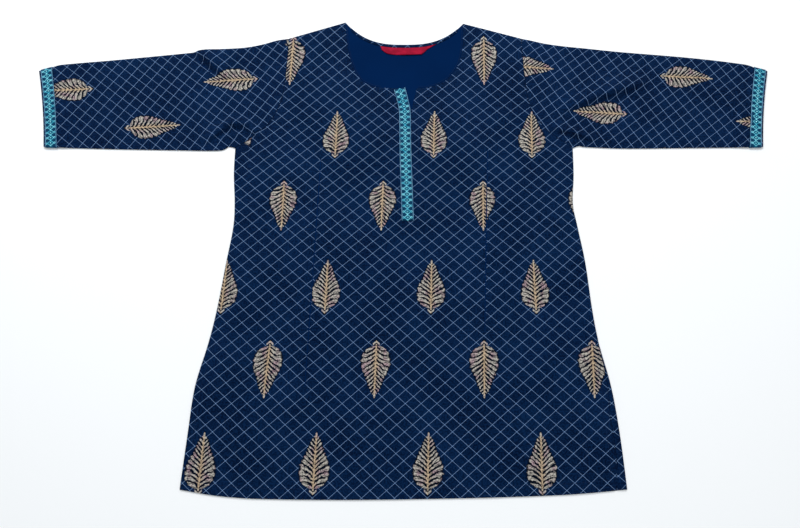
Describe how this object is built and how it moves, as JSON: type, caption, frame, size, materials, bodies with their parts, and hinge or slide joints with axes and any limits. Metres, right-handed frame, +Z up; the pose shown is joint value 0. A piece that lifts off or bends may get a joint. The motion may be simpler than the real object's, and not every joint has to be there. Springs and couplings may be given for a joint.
{
  "type": "kurta tunic",
  "caption": "Short printed kurta tunic laid flat, front up, with three-quarter sleeves, slit neck, woven trims at placket and cuffs, shaped side seams and side vents.",
  "frame": {"origin": "middle of the flat underside, on the surface that the garment lies on", "axes": "+X across the garment to the wearer's left, which is on the right as seen from above with the neck away; +Y from hem to neck; +Z up, out of the front of the garment"},
  "size_m": [1.1966, 0.7541, 0.0051],
  "materials": {
    "print_cotton": "matt navy cotton with a fine pale lattice and gold-beige leaf motifs, plain navy on its wrong side",
    "woven_trim": "woven ribbon, light cyan figures on dark teal, with a slight sheen",
    "label_satin": "plain red satin",
    "thread": "matt navy sewing thread"
  },
  "bodies": {
    "root": {"back_panel": "print_cotton", "front_panel": "print_cotton", "sleeve_right": "print_cotton", "sleeve_left": "print_cotton", "cuff_trim_right": "woven_trim", "cuff_trim_left": "woven_trim", "placket_trim": "woven_trim", "back_vent_hem_left": "print_cotton", "back_neck_binding": "print_cotton", "neck_label": "label_satin"}
  },
  "joints": []
}
